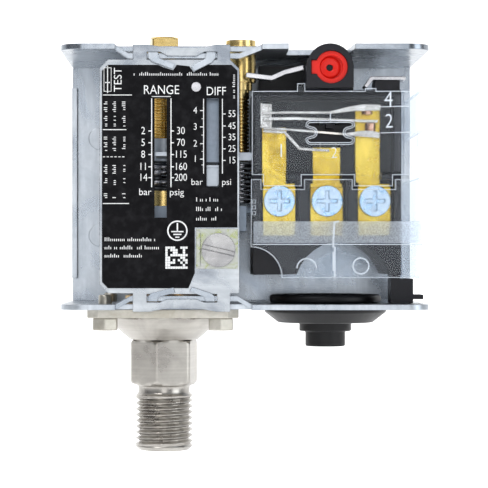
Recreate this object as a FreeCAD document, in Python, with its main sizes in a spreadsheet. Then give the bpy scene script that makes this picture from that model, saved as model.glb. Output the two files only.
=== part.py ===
import FreeCAD, Part
import math
import os
import Sketcher

# Pressure switch. Millimetres. The origin is the centre of the open end of the pressure port.
# +X runs towards the electrical side, +Y into the depth towards the back plate, +Z up.

doc = FreeCAD.newDocument("pressure_switch")
sheet = doc.addObject("Spreadsheet::Sheet", "dims")
up = FreeCAD.Vector(0, 0, 1)
exported = []


class Size:
    """A length that remembers its formula, so that a sketch can be bound to the sheet."""

    def __init__(self, value, formula):
        self.value = value
        self.formula = formula

    def combine(self, other, sign, result):
        formula = other.formula if isinstance(other, Size) else repr(float(other))
        return Size(result, "(%s %s %s)" % (self.formula, sign, formula))

    def __add__(self, other):
        return self.combine(other, "+", self.value + number(other))

    def __sub__(self, other):
        return self.combine(other, "-", self.value - number(other))

    def __mul__(self, other):
        return self.combine(other, "*", self.value * number(other))

    def __truediv__(self, other):
        return self.combine(other, "/", self.value / number(other))

    def __rsub__(self, other):
        return (-self) + other

    def __radd__(self, other):
        return self + other

    def __neg__(self):
        return Size(-self.value, "(0 - %s)" % self.formula)


def number(size):
    return size.value if isinstance(size, Size) else float(size)


def dim(alias, value):
    """Put one driving dimension in the sheet and return it."""
    dim.row += 1
    sheet.set("A%d" % dim.row, alias)
    sheet.set("B%d" % dim.row, str(value))
    sheet.setAlias("B%d" % dim.row, alias)
    return Size(float(value), "dims.%s" % alias)


dim.row = 0


def bind(thing, path, size):
    """Bind one property to a formula, or set it when the size is a plain number."""
    if isinstance(size, Size):
        thing.setExpression(path, size.formula)
    else:
        thing.setExpression(path, repr(float(size)))


# ---------------------------------------------------------------- driving dimensions

case_left = dim("case_left", -22.6)
case_right = dim("case_right", 59.2)
case_front = dim("case_front", -23)
case_back = dim("case_back", 23)
case_bottom = dim("case_bottom", 32.8)
case_top = dim("case_top", 91.5)
sheet_gauge = dim("sheet_gauge", 1.2)
bridge_drop = dim("bridge_drop", 1.9)
bridge_front = dim("bridge_front", -20.4)
bridge_back = dim("bridge_back", -17)
ear_round = dim("ear_round", 5)
mount_left = dim("mount_left", -7.7)
mount_low = dim("mount_low", 57)
mount_wide = dim("mount_wide", 52)
mount_tall = dim("mount_tall", 23)
mount_hole = dim("mount_hole", 2.2)

plate_front = dim("plate_front", -21.5)
plate_gauge = dim("plate_gauge", 1.0)
plate_left = dim("plate_left", -13.9)
plate_right = dim("plate_right", 17.0)
plate_low = dim("plate_low", 36.5)
plate_high = dim("plate_high", 88.1)
label_gauge = dim("label_gauge", 0.25)
window_left = dim("window_left", -1.7)
window_right = dim("window_right", 1.0)
window_high = dim("window_high", 79.5)
window_low = dim("window_low", 53.2)
second_left = dim("second_left", 9.8)
second_right = dim("second_right", 12.5)
second_low = dim("second_low", 60.0)
earth_across = dim("earth_across", 12.4)
earth_height = dim("earth_height", 46.0)
earth_shank = dim("earth_shank", 1.9)

thread_radius = dim("thread_radius", 6.5785)
thread_root = dim("thread_root", 5.722)
thread_pitch = dim("thread_pitch", 1.337)
thread_length = dim("thread_length", 12.8)
inlet_radius = dim("inlet_radius", 2.0)
hex_flats = dim("hex_flats", 14)
hex_low = dim("hex_low", 15.1)
hex_high = dim("hex_high", 25.5)
bowl_gauge = dim("bowl_gauge", 0.8)
flange_half = dim("flange_half", 17)
flange_low = dim("flange_low", 30.8)
screw_offset = dim("screw_offset", 13)
screw_radius = dim("screw_radius", 1.5)
bellows_outer = dim("bellows_outer", 9.0)
bellows_inner = dim("bellows_inner", 7.0)
bellows_low = dim("bellows_low", 30.0)
bellows_fold = dim("bellows_fold", 2.4)
bellows_skin = dim("bellows_skin", 0.35)

range_radius = dim("range_radius", 3.0)
fine_pitch = dim("fine_pitch", 0.8)
range_nut_low = dim("range_nut_low", 66.4)
second_across = dim("second_across", 17.6)
second_depth = dim("second_depth", -8)
second_radius = dim("second_radius", 1.9)
second_neck = dim("second_neck", 3.4)
second_nut_low = dim("second_nut_low", 66.3)
running_gap = dim("running_gap", 0.05)
spring_radius = dim("spring_radius", 5.2)
spring_wire = dim("spring_wire", 0.75)

arm_pivot_across = dim("arm_pivot_across", -10.5)
arm_pivot_height = dim("arm_pivot_height", 52.5)
arm_pivot_radius = dim("arm_pivot_radius", 1.5)
arm_top = dim("arm_top", 56.1)
arm_gauge = dim("arm_gauge", 1.5)
arm_half = dim("arm_half", 8.5)
transfer_across = dim("transfer_across", 37.6)
transfer_depth = dim("transfer_depth", 3)

box_left = dim("box_left", 20.3)
box_right = dim("box_right", 53.5)
box_front = dim("box_front", -14)
box_back = dim("box_back", 15)
box_low = dim("box_low", 40.5)
box_high = dim("box_high", 82)
box_wall = dim("box_wall", 1.6)
box_ledge = dim("box_ledge", 61.9)
terminal_pitch = dim("terminal_pitch", 10.75)
terminal_first = dim("terminal_first", 26.2)
terminal_height = dim("terminal_height", 57.1)
terminal_back = dim("terminal_back", -8.8)
terminal_gauge = dim("terminal_gauge", 1.2)
terminal_shank = dim("terminal_shank", 1.75)
blade_pivot_across = dim("blade_pivot_across", 23.6)
blade_pivot_height = dim("blade_pivot_height", 75.6)

boss_across = dim("boss_across", 37.4)
boss_height = dim("boss_height", 86.5)
cable_across = dim("cable_across", 37.3)
cable_hole = dim("cable_hole", 11)
cable_bore = dim("cable_bore", 3.2)

doc.recompute()


# ---------------------------------------------------------------- modelling helpers


def origin_feature(body, role):
    for feature in body.Origin.OriginFeatures:
        if feature.Role == role:
            return feature
    raise ValueError(role)


def new_body(label):
    body = doc.addObject("PartDesign::Body", label)
    body.Label = label
    return body


def disc(across, along, radius):
    """One circle of a sketch, as centre and radius."""
    return ("disc", across, along, radius)


def box_loop(left, right, low, high):
    return [(left, low), (right, low), (right, high), (left, high)]


def hold(sketch, name, kind, *where, size):
    """Add one driving constraint and bind it to its formula."""
    index = sketch.addConstraint(Sketcher.Constraint(kind, *where, number(size)))
    if isinstance(size, Size):
        sketch.renameConstraint(index, name)
        sketch.setExpression("Constraints.%s" % name, size.formula)


def draw(body, plane, loops, level=0):
    """Sketch closed loops on an origin plane, lifted by level along the plane's normal."""
    sketch = body.newObject("Sketcher::SketchObject", body.Label + "_sketch")
    sketch.AttachmentSupport = [(origin_feature(body, plane), "")]
    sketch.MapMode = "FlatFace"
    bind(sketch, "AttachmentOffset.Base.z", level)
    for loop in loops:
        if loop[0] == "disc":
            add_disc(sketch, loop)
        else:
            add_polygon(sketch, loop)
    doc.recompute()
    return sketch


def add_disc(sketch, loop):
    kind, across, along, radius = loop
    centre = FreeCAD.Vector(number(across), number(along), 0)
    index = sketch.addGeometry(Part.Circle(centre, up, number(radius)), False)
    hold(sketch, "radius%d" % index, "Radius", index, size=radius)
    hold(sketch, "across%d" % index, "DistanceX", -1, 1, index, 3, size=across)
    hold(sketch, "along%d" % index, "DistanceY", -1, 1, index, 3, size=along)


def add_polygon(sketch, loop):
    corners = [FreeCAD.Vector(number(x), number(y), 0) for x, y in loop]
    lines = []
    for index, corner in enumerate(corners):
        after = corners[(index + 1) % len(corners)]
        lines.append(sketch.addGeometry(Part.LineSegment(corner, after), False))
    for index, line in enumerate(lines):
        after = lines[(index + 1) % len(lines)]
        sketch.addConstraint(Sketcher.Constraint("Coincident", line, 2, after, 1))
    for line, (x, y) in zip(lines, loop):
        hold(sketch, "across%d" % line, "DistanceX", -1, 1, line, 1, size=x)
        hold(sketch, "along%d" % line, "DistanceY", -1, 1, line, 1, size=y)


def feature(body, kind, sketch, **settings):
    made = body.newObject("PartDesign::" + kind, body.Label + "_" + kind.lower())
    made.Profile = sketch
    for name, value in settings.items():
        if isinstance(value, (Size, float, int)) and not isinstance(value, bool):
            bind(made, name, value)
        else:
            setattr(made, name, value)
    doc.recompute()
    return made


def raise_front(body, loops, front, back):
    """Pad loops of the XZ plane between two depths; the pad runs from the back one forwards."""
    sketch = draw(body, "XZ_Plane", loops, level=negative(back))
    return feature(body, "Pad", sketch, Length=distance(front, back))


def cut_front(body, loops, front, back):
    """Pocket loops of the XZ plane between two depths."""
    return cut(body, "XZ_Plane", loops, negative(front), distance(front, back))


def raise_up(body, loops, low, high):
    sketch = draw(body, "XY_Plane", loops, level=low)
    return feature(body, "Pad", sketch, Length=distance(low, high))


def cut_down(body, loops, low, high):
    return cut(body, "XY_Plane", loops, high, distance(low, high))


def negative(size):
    return -size if isinstance(size, Size) else -float(size)


def distance(low, high):
    if isinstance(high, Size):
        return high - low
    if isinstance(low, Size):
        return -low + high
    return float(high) - float(low)


def cut(body, plane, loops, level, length):
    """Pocket from a level against the plane's normal; the cut must take material away."""
    before = body.Shape.Volume
    sketch = draw(body, plane, loops, level=level)
    made = feature(body, "Pocket", sketch, Length=length)
    if body.Shape.Volume > before - 1e-4:
        raise ValueError(body.Label + ": a pocket cut nothing")
    return made


def turn(body, loops):
    """Revolve loops (radius, height) about the body's Z axis."""
    sketch = draw(body, "XZ_Plane", loops)
    return feature(body, "Revolution", sketch, ReferenceAxis=(sketch, ["V_Axis"]), Angle=360.0)


def place(body, across=0.0, depth=0.0, height=0.0):
    bind(body, "Placement.Base.x", across)
    bind(body, "Placement.Base.y", depth)
    bind(body, "Placement.Base.z", height)


def ring_grooves(body, crest, root, pitch, low, turns):
    """Thread roots as rings: one groove repeated along the axis at the pitch."""
    flank = pitch * 0.42
    land = pitch * 0.16
    loop = [
        (crest + 0.3, low - flank - 0.02),
        (crest + 0.3, low + flank + 0.02),
        (root, low + land / 2),
        (root, low - land / 2),
    ]
    sketch = draw(body, "XZ_Plane", [loop])
    groove = feature(body, "Groove", sketch, ReferenceAxis=(sketch, ["V_Axis"]), Angle=360.0)
    rows = body.newObject("PartDesign::LinearPattern", body.Label + "_rows")
    rows.Originals = [groove]
    rows.Direction = (origin_feature(body, "Z_Axis"), [""])
    bind(rows, "Length", pitch * (turns - 1))
    rows.Occurrences = turns
    body.Tip = rows
    doc.recompute()
    return rows


def round_edges(body, radius, wanted):
    """Fillet the edges for which wanted(edge) holds."""
    base = body.Tip
    names = ["Edge%d" % (i + 1) for i, edge in enumerate(base.Shape.Edges) if wanted(edge)]
    made = body.newObject("PartDesign::Fillet", body.Label + "_fillet")
    made.Base = (base, names)
    bind(made, "Radius", radius)
    doc.recompute()
    return made


def chamfer_edges(body, size, wanted):
    base = body.Tip
    names = ["Edge%d" % (i + 1) for i, edge in enumerate(base.Shape.Edges) if wanted(edge)]
    made = body.newObject("PartDesign::Chamfer", body.Label + "_chamfer")
    made.Base = (base, names)
    bind(made, "Size", size)
    doc.recompute()
    return made


def along_axis(edge, axis):
    """True for a straight edge parallel to an axis given by its letter."""
    if edge.Curve.TypeId != "Part::GeomLine":
        return False
    direction = edge.tangentAt(edge.FirstParameter)
    return abs(getattr(direction, axis)) > 0.999


def plate(label, loops, front, back):
    """A flat piece standing in the XZ plane between two depths."""
    body = new_body(label)
    raise_front(body, loops, front, back)
    exported.append(body)
    return body


def bar(label, points, thickness, front, back):
    """A strip of constant thickness that follows a polyline in the XZ plane."""
    return plate(label, [thick_line(points, thickness)], front, back)


def thick_line(points, thickness):
    """Closed outline around a polyline."""
    half = number(thickness) / 2
    sides = ([], [])
    for index, point in enumerate(points):
        before = points[max(index - 1, 0)]
        after = points[min(index + 1, len(points) - 1)]
        first = unit(before, point) if index > 0 else unit(point, after)
        second = unit(point, after) if index < len(points) - 1 else first
        bisector = (first[0] + second[0], first[1] + second[1])
        length = math.hypot(*bisector)
        normal = (-bisector[1] / length, bisector[0] / length)
        stretch = half / max(normal[0] * -first[1] + normal[1] * first[0], 0.3)
        sides[0].append((point[0] + normal[0] * stretch, point[1] + normal[1] * stretch))
        sides[1].append((point[0] - normal[0] * stretch, point[1] - normal[1] * stretch))
    return sides[0] + sides[1][::-1]


def unit(start, end):
    length = math.hypot(end[0] - start[0], end[1] - start[1])
    return ((end[0] - start[0]) / length, (end[1] - start[1]) / length)


def arc(centre_across, centre_height, radius, start, end, steps):
    """Points of an arc, angles in degrees."""
    points = []
    for step in range(steps + 1):
        angle = math.radians(start + (end - start) * step / steps)
        points.append((centre_across + radius * math.cos(angle), centre_height + radius * math.sin(angle)))
    return points


def primitive(kind, label, **settings):
    made = doc.addObject("Part::" + kind, label)
    for name, value in settings.items():
        path = {"x": "Placement.Base.x", "y": "Placement.Base.y", "z": "Placement.Base.z"}.get(name, name)
        bind(made, path, value)
    return made


def join(label, pieces):
    made = doc.addObject("Part::MultiFuse", label)
    made.Shapes = pieces
    return made


def subtract(label, base, tool):
    made = doc.addObject("Part::Cut", label)
    made.Base = base
    made.Tool = tool
    return made


def group(label, pieces):
    """Several identical separate solids under one name."""
    made = doc.addObject("Part::Compound", label)
    made.Label = label
    made.Links = pieces
    exported.append(made)
    return made


# ---------------------------------------------------------------- chassis

inner_low = case_bottom + sheet_gauge
inner_high = case_top - sheet_gauge
chassis = new_body("chassis")
raise_front(chassis, [box_loop(case_left, case_right, case_bottom, case_top)], case_front, case_back)
cut_front(
    chassis,
    [box_loop(case_left - 1, case_right + 1, inner_low, inner_high)],
    case_front,
    case_back - sheet_gauge,
)
# the middle of each flange is cut free at the front and set inwards, behind the front plate
cut_front(
    chassis,
    [
        box_loop(-10.4, 22.0, case_top - sheet_gauge - 0.5, case_top + 1),
        box_loop(-10.4, 19.8, case_bottom - 1, case_bottom + sheet_gauge + 0.5),
    ],
    case_front,
    bridge_back,
)
bridge_top = case_top - bridge_drop
bridge_low = case_bottom + bridge_drop
raise_front(
    chassis,
    [
        [
            (-10.4, case_top),
            (-7.5, bridge_top),
            (17.1, bridge_top),
            (22.0, case_top),
            (22.0, inner_high),
            (17.1, bridge_top - sheet_gauge),
            (-7.5, bridge_top - sheet_gauge),
            (-10.4, inner_high),
        ],
        [
            (-10.4, case_bottom),
            (-10.4, inner_low),
            (-7.1, bridge_low + sheet_gauge),
            (16.7, bridge_low + sheet_gauge),
            (19.8, inner_low),
            (19.8, case_bottom),
            (16.7, bridge_low),
            (-7.1, bridge_low),
        ],
    ],
    bridge_front,
    bridge_back,
)
# four tongues reach through the slots of the front plate and are bent over it
tongue_front = plate_front - label_gauge - 1.15
tongue_back = plate_front - label_gauge - 0.05
raise_front(
    chassis,
    [
        box_loop(-3.1, -0.9, bridge_top - sheet_gauge, bridge_top),
        box_loop(9.8, 11.8, bridge_top - sheet_gauge, bridge_top),
        box_loop(-3.1, -1.1, bridge_low, bridge_low + sheet_gauge),
        box_loop(9.6, 11.6, bridge_low, bridge_low + sheet_gauge),
    ],
    tongue_front,
    bridge_front,
)
raise_front(
    chassis,
    [
        [(-3.1, 88.4), (-0.9, 89.6), (-0.6, 88.3), (2.9, 87.0), (2.3, 85.9), (-2.2, 87.5)],
        [(11.8, 88.4), (9.8, 89.6), (9.4, 88.1), (6.4, 86.4), (7.1, 85.4), (10.9, 87.3)],
        [(-3.1, 35.9), (-1.1, 34.7), (-0.9, 35.6), (2.9, 36.7), (2.5, 37.8), (-2.2, 36.6)],
        [(11.6, 35.9), (9.6, 34.7), (9.4, 35.7), (6.0, 36.9), (6.5, 38.0), (10.7, 36.6)],
    ],
    tongue_front,
    tongue_back,
)
# forward lip along the left edge of the back plate, and two raised rounds beside it
raise_front(
    chassis,
    [box_loop(case_left, case_left + sheet_gauge, 39.4, 85.3)],
    case_back - sheet_gauge - 2.5,
    case_back - sheet_gauge,
)
raise_front(
    chassis,
    [disc(-16.1, 73.2, 2.6), disc(-16.1, 49.7, 2.6)],
    case_back - sheet_gauge - 0.5,
    case_back - sheet_gauge,
)
# notch of the top flange for the calibration boss
cut_down(
    chassis,
    [[(27.9, case_front - 1), (42.6, case_front - 1), (41.6, -9), (27.9, -9)]],
    inner_high - 0.5,
    case_top + 0.5,
)
# holes of the top flange: the two spindles
cut_down(
    chassis,
    [
        disc(0, 0, range_radius + running_gap),
        disc(second_across, second_depth, second_neck + running_gap),
    ],
    inner_high - 0.5,
    case_top + 0.5,
)
# holes of the bottom flange: bellows, flange screws, cable grommet
cut_down(
    chassis,
    [
        disc(0, 0, bellows_outer + 1.6),
        disc(screw_offset, screw_offset, screw_radius),
        disc(-screw_offset, screw_offset, screw_radius),
        disc(screw_offset, -screw_offset, screw_radius),
        disc(-screw_offset, -screw_offset, screw_radius),
        disc(cable_across, 0, cable_hole),
    ],
    case_bottom - 0.5,
    inner_low + 0.5,
)
# holes of the back plate: four for mounting, one for the arm pivot, two for the housing studs
stud_low = (terminal_first - 1.7, 60)
stud_high = (terminal_first + 23.3, 60)
cut_front(
    chassis,
    [
        disc(mount_left, mount_low, mount_hole),
        disc(mount_left + mount_wide, mount_low, mount_hole),
        disc(mount_left, mount_low + mount_tall, mount_hole),
        disc(mount_left + mount_wide, mount_low + mount_tall, mount_hole),
        disc(arm_pivot_across, arm_pivot_height, arm_pivot_radius),
        disc(stud_low[0], stud_low[1], 1.5),
        disc(stud_high[0], stud_high[1], 1.5),
    ],
    case_back - sheet_gauge - 0.2,
    case_back + 0.2,
)


def is_front_ear_corner(edge):
    at_front = abs(edge.BoundBox.YMax - number(case_front)) < 0.01
    at_side = edge.BoundBox.XMin > number(case_right) - 0.01 or edge.BoundBox.XMax < number(case_left) + 0.01
    return along_axis(edge, "z") and at_front and at_side


round_edges(chassis, ear_round, is_front_ear_corner)
exported.append(chassis)

# ---------------------------------------------------------------- front plate, label and earth terminal

front_plate = new_body("front_plate")
frame_outline = (
    [(plate_left, plate_low + 2), (plate_left + 2, plate_low), (-6.5, plate_low), (-6.5, 32.4), (-3.0, 32.4)]
    + [(1.0, 33.1), (8.0, 33.1), (12.0, 32.4), (15.0, 32.4), (15.0, plate_low), (plate_right, plate_low)]
    + [(plate_right, plate_high - 2), (15.0, plate_high), (15.0, 91.4)]
    + [(12.0, 91.4), (8.0, 90.7), (1.0, 90.7), (-3.0, 91.4), (-6.5, 91.4), (-6.5, plate_high)]
    + [(plate_left + 2, plate_high), (plate_left, plate_high - 2)]
)
raise_front(front_plate, [frame_outline], plate_front, plate_front + plate_gauge)
cut_front(
    front_plate,
    [
        [(-3.4, plate_high), (12.1, plate_high), (12.1, 89.8), (9.3, 89.8), (7.5, 88.9), (1.2, 88.9)]
        + [(-0.5, 89.8), (-3.4, 89.8)],
        [(-3.4, 36.3), (-3.4, 34.5), (-0.5, 34.5), (1.2, 35.2), (7.5, 35.2), (9.2, 34.5)]
        + [(12.1, 34.5), (12.1, 36.3)],
        box_loop(window_left, window_right, window_low, window_high),
        box_loop(second_left, second_right, second_low, window_high),
        disc(earth_across, earth_height, earth_shank),
        disc(arm_pivot_across, arm_pivot_height, arm_pivot_radius),
        disc(7.5, 82.0, 0.7),
    ],
    plate_front,
    plate_front + plate_gauge,
)
exported.append(front_plate)

label_outline = (
    [(-13.3, 39.0), (-12.0, 37.6), (5.8, 37.6), (7.2, 41.0), (7.2, 51.0), (16.6, 51.0), (16.6, 85.6)]
    + [(15.3, 86.9), (8.6, 86.9), (7.0, 85.2), (6.0, 86.6), (3.2, 86.9), (2.4, 85.7), (0.5, 86.3)]
    + [(-1.0, 86.9), (-12.0, 86.9), (-13.3, 85.6)]
)
scale_label = plate("scale_label", [label_outline], plate_front - label_gauge, plate_front)
cut_front(
    scale_label,
    [
        box_loop(window_left, window_right, window_low, window_high),
        box_loop(second_left, second_right, second_low, window_high),
        disc(7.5, 82.0, 0.7),
    ],
    plate_front - label_gauge,
    plate_front,
)

label_pin = new_body("label_pin")
raise_front(label_pin, [disc(7.5, 82.0, 0.7)], plate_front - label_gauge, plate_front + plate_gauge)
raise_front(label_pin, [disc(7.5, 82.0, 1.05)], plate_front - label_gauge - 0.5, plate_front - label_gauge)
exported.append(label_pin)

clamp_front = plate_front - 0.9
earth_clamp = plate(
    "earth_clamp_plate", [box_loop(7.5, 16.7, 41.9, 50.7)], clamp_front, plate_front
)
raise_front(earth_clamp, [box_loop(7.5, 8.4, 42.4, 50.2)], clamp_front - 0.9, clamp_front)
cut_front(earth_clamp, [disc(earth_across, earth_height, earth_shank + 0.1)], clamp_front, plate_front)

earth_screw = new_body("earth_screw")
raise_front(earth_screw, [disc(earth_across, earth_height, earth_shank)], clamp_front, plate_front + 4)
raise_front(earth_screw, [disc(earth_across, earth_height, 3.75)], clamp_front - 2.1, clamp_front)
slot_angle = -13.0
slot_reach = 5 * math.cos(math.radians(slot_angle))
slot_rise = 5 * math.sin(math.radians(slot_angle))
earth_x = number(earth_across)
slot = thick_line([(earth_x - slot_reach, 46.0 - slot_rise), (earth_x + slot_reach, 46.0 + slot_rise)], 1.0)
cut_front(earth_screw, [slot], clamp_front - 2.1, clamp_front - 0.9)
exported.append(earth_screw)

# ---------------------------------------------------------------- pressure side

connector = new_body("connector_blank")
turn(
    connector,
    [
        [
            (inlet_radius, 0),
            (thread_radius - 0.7, 0),
            (thread_radius, 0.7),
            (thread_radius, thread_length),
            (6.2, thread_length),
            (6.2, hex_low),
            (7.0, hex_low),
            (7.0, hex_high),
            (5.0, hex_high),
            (5.0, hex_high + 1.3),
            (inlet_radius, hex_high + 1.3),
        ]
    ],
)
hexagon_outline = arc(0, 0, number(hex_flats) / math.sqrt(3), 77.5, 377.5, 5)
raise_up(connector, [hexagon_outline], hex_low, hex_high)
cut_down(connector, [disc(0, 0, inlet_radius)], 0, hex_high + 1.3)
collar_cut = new_body("connector_corner_cut")
turn(
    collar_cut,
    [
        [(7.2, hex_low), (9.2, hex_low), (9.2, hex_low + 1.1)],
        [(7.2, hex_high), (9.2, hex_high), (9.2, hex_high - 1.1)],
    ],
)
ring_grooves(connector, thread_radius, thread_root, thread_pitch, 1.75, 9)
pressure_connector = subtract("pressure_connector", connector, collar_cut)
exported.append(pressure_connector)

bowl = new_body("bellows_bowl")
turn(
    bowl,
    [
        [
            (5.0, hex_high),
            (7.9, hex_high),
            (9.3, hex_high + 1.2),
            (11.0, hex_high + 2.7),
            (12.6, hex_high + 4.6),
            (12.9, hex_high + 4.9),
            (12.9, flange_low),
            (10.2, flange_low),
            (10.2, hex_high + 3.3),
            (8.7, hex_high + 1.9),
            (7.6, hex_high + bowl_gauge),
            (5.0, hex_high + bowl_gauge),
        ]
    ],
)
exported.append(bowl)

bellows_ring = new_body("bellows_ring")
turn(
    bellows_ring,
    [
        [
            (bellows_outer + 0.35, bellows_low - 0.6),
            (10.2, bellows_low - 0.6),
            (10.2, inner_low),
            (bellows_outer + 0.35, inner_low),
        ]
    ],
)
exported.append(bellows_ring)

bellows = new_body("bellows")
folds = 7
outside = []
inside = []
for fold in range(folds):
    base = bellows_low + bellows_fold * fold
    for share, wide in ((0.0, 1), (0.35, 1), (0.5, 0), (0.85, 0)):
        height = base + bellows_fold * share
        radius = bellows_outer if wide else bellows_inner
        outside.append((radius, height))
        inside.append((radius - bellows_skin, height))
bellows_top = bellows_low + bellows_fold * folds
outside.append((bellows_inner, bellows_top))
inside.append((bellows_inner - bellows_skin, bellows_top))
cap_top = bellows_top + bellows_skin
turn(bellows, [outside + [(bellows_inner, cap_top), (0, cap_top), (0, bellows_top)] + inside[::-1]])
exported.append(bellows)

bellows_flange = new_body("bellows_flange")
raise_up(
    bellows_flange,
    [
        [(-flange_half, -flange_half + 2.5), (-flange_half + 2.5, -flange_half)]
        + [(flange_half - 2.5, -flange_half), (flange_half, -flange_half + 2.5)]
        + [(flange_half, flange_half - 2.5), (flange_half - 2.5, flange_half)]
        + [(-flange_half + 2.5, flange_half), (-flange_half, flange_half - 2.5)],
        disc(0, 0, 10.2),
        disc(screw_offset, screw_offset, screw_radius + 0.15),
        disc(-screw_offset, screw_offset, screw_radius + 0.15),
        disc(screw_offset, -screw_offset, screw_radius + 0.15),
        disc(-screw_offset, -screw_offset, screw_radius + 0.15),
    ],
    flange_low,
    case_bottom,
)
exported.append(bellows_flange)

flange_screws = []
for side in (-1, 1):
    for row in (-1, 1):
        head = primitive("Prism", "flange_screw_head", Polygon=6, Circumradius=3.15, Height=2.8)
        bind(head, "Placement.Base.x", screw_offset * side)
        bind(head, "Placement.Base.y", screw_offset * row)
        bind(head, "Placement.Base.z", flange_low - 2.8)
        head.setExpression("Placement.Rotation.Angle", "30")
        shank = primitive("Cylinder", "flange_screw_shank", Radius=screw_radius, Height=5.6)
        bind(shank, "Placement.Base.x", screw_offset * side)
        bind(shank, "Placement.Base.y", screw_offset * row)
        bind(shank, "Placement.Base.z", flange_low - 0.4)
        flange_screws.append(join("flange_screw", [head, shank]))
group("flange_screws", flange_screws)

# ---------------------------------------------------------------- range setting

spindle = new_body("range_spindle")
turn(
    spindle,
    [
        [
            (0, 68.0),
            (2.4, 68.0),
            (range_radius, 68.6),
            (range_radius, 87.4),
            (4.6, 87.4),
            (4.6, inner_high - 0.1),
            (range_radius, inner_high - 0.1),
            (range_radius, case_top + 0.2),
            (0, case_top + 0.2),
        ]
    ],
)
square = arc(0, 0, 3.0 * math.sqrt(2), 52, 322, 3)
raise_up(spindle, [square], case_top + 0.2, 95.2)
chamfer_edges(spindle, 0.5, lambda edge: edge.BoundBox.ZMin > 95.19)
ring_grooves(spindle, range_radius, range_radius - 0.42, fine_pitch, 69.6, 21)
exported.append(spindle)

range_nut = new_body("range_nut")
turn(
    range_nut,
    [
        [
            (range_radius + running_gap, range_nut_low),
            (7.2, range_nut_low),
            (7.2, range_nut_low + 2.0),
            (6.2, range_nut_low + 2.0),
            (6.2, range_nut_low + 5.2),
            (range_radius + running_gap, range_nut_low + 5.2),
        ]
    ],
)
raise_up(range_nut, [box_loop(-1.6, 1.6, -19.4, -6.5)], range_nut_low + 0.5, range_nut_low + 1.4)
raise_up(range_nut, [box_loop(-9.6, -6.0, -2.2, 2.2)], range_nut_low, range_nut_low + 1.2)
exported.append(range_nut)

spring_low = 51.3
main_spring = new_body("main_spring")
coil = draw(main_spring, "XZ_Plane", [disc(spring_radius, spring_low + 0.75, spring_wire)])
helix = main_spring.newObject("PartDesign::AdditiveHelix", "main_spring_helix")
helix.Profile = coil
helix.ReferenceAxis = (coil, ["V_Axis"])
helix.Mode = 0
helix.Pitch = 2.65
helix.Height = 13.25
doc.recompute()
exported.append(main_spring)

spring_cup = new_body("spring_cup")
turn(
    spring_cup,
    [
        [
            (0, 50.0),
            (6.8, 50.0),
            (6.8, arm_top),
            (7.9, arm_top),
            (7.9, arm_top + 3.5),
            (7.1, arm_top + 3.5),
            (7.1, arm_top + 1.0),
            (6.3, arm_top + 0.4),
            (6.3, 51.0),
            (0, 51.0),
        ]
    ],
)
exported.append(spring_cup)

thrust_rod = new_body("thrust_rod")
turn(thrust_rod, [[(0, cap_top + 0.02), (4.5, cap_top + 0.02), (4.5, cap_top + 1.0)]
                  + [(2.0, cap_top + 1.6), (2.0, 49.2), (0.8, 49.94), (0, 49.96)]])
exported.append(thrust_rod)

# ---------------------------------------------------------------- main arm

main_arm = new_body("main_arm")
arm_web_low = arm_top - arm_gauge
raise_up(
    main_arm,
    [
        [(-13.4, -arm_half), (18.9, -arm_half), (18.9, 0.2), (transfer_across + 2.4, 0.2)]
        + [(transfer_across + 2.4, 5.8), (18.9, 5.8), (18.9, arm_half), (-13.4, arm_half)],
        disc(0, 0, 6.85),
        disc(transfer_across, transfer_depth, 1.2),
    ],
    arm_web_low,
    arm_top,
)
raise_front(main_arm, [box_loop(-13.4, 18.9, 50.4, arm_web_low)], -arm_half, -arm_half + arm_gauge)
raise_front(main_arm, [box_loop(-13.4, 18.9, 50.4, arm_web_low)], arm_half - arm_gauge, arm_half)
cut_front(
    main_arm,
    [disc(arm_pivot_across, arm_pivot_height, arm_pivot_radius + running_gap)],
    -arm_half,
    arm_half,
)
exported.append(main_arm)

arm_pivot = new_body("arm_pivot")
raise_front(
    arm_pivot,
    [disc(arm_pivot_across, arm_pivot_height, arm_pivot_radius)],
    plate_front,
    case_back - 0.2,
)
exported.append(arm_pivot)

transfer_rod = new_body("transfer_rod")
raise_up(transfer_rod, [disc(transfer_across, transfer_depth, 1.2)], arm_web_low, 71.2)
raise_up(
    transfer_rod,
    [box_loop(transfer_across - 1.2, transfer_across + 1.2, -9.0, transfer_depth + 1.2)],
    71.2,
    73.4,
)
exported.append(transfer_rod)

# the tumbler: a plate on the finger of the transfer rod, with a nose that lifts the blade
tumbler = plate("tumbler", [box_loop(33.4, 41.8, 70.4, 74.4)], -9.9, -9.0)
raise_front(tumbler, [box_loop(36.7, 38.5, 73.5, 74.6)], -12.6, -9.9)

# ---------------------------------------------------------------- differential setting

diff_spindle = new_body("diff_spindle")
turn(
    diff_spindle,
    [
        [
            (0, second_nut_low - 0.1),
            (1.5, second_nut_low - 0.1),
            (second_radius, second_nut_low + 0.4),
            (second_radius, 82.3),
            (2.6, 82.3),
            (2.6, 84.1),
            (second_neck, 84.1),
            (second_neck, case_top + 0.1),
            (4.1, case_top + 0.1),
            (4.1, case_top + 0.7),
            (second_neck, case_top + 0.7),
            (second_neck, 93.6),
            (0, 93.6),
        ]
    ],
)
cut_down(diff_spindle, [box_loop(-4, 4, -0.5, 0.5)], 92.6, 93.6)
ring_grooves(diff_spindle, second_radius, second_radius - 0.4, fine_pitch, 67.4, 17)
place(diff_spindle, second_across, second_depth)
exported.append(diff_spindle)

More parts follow.
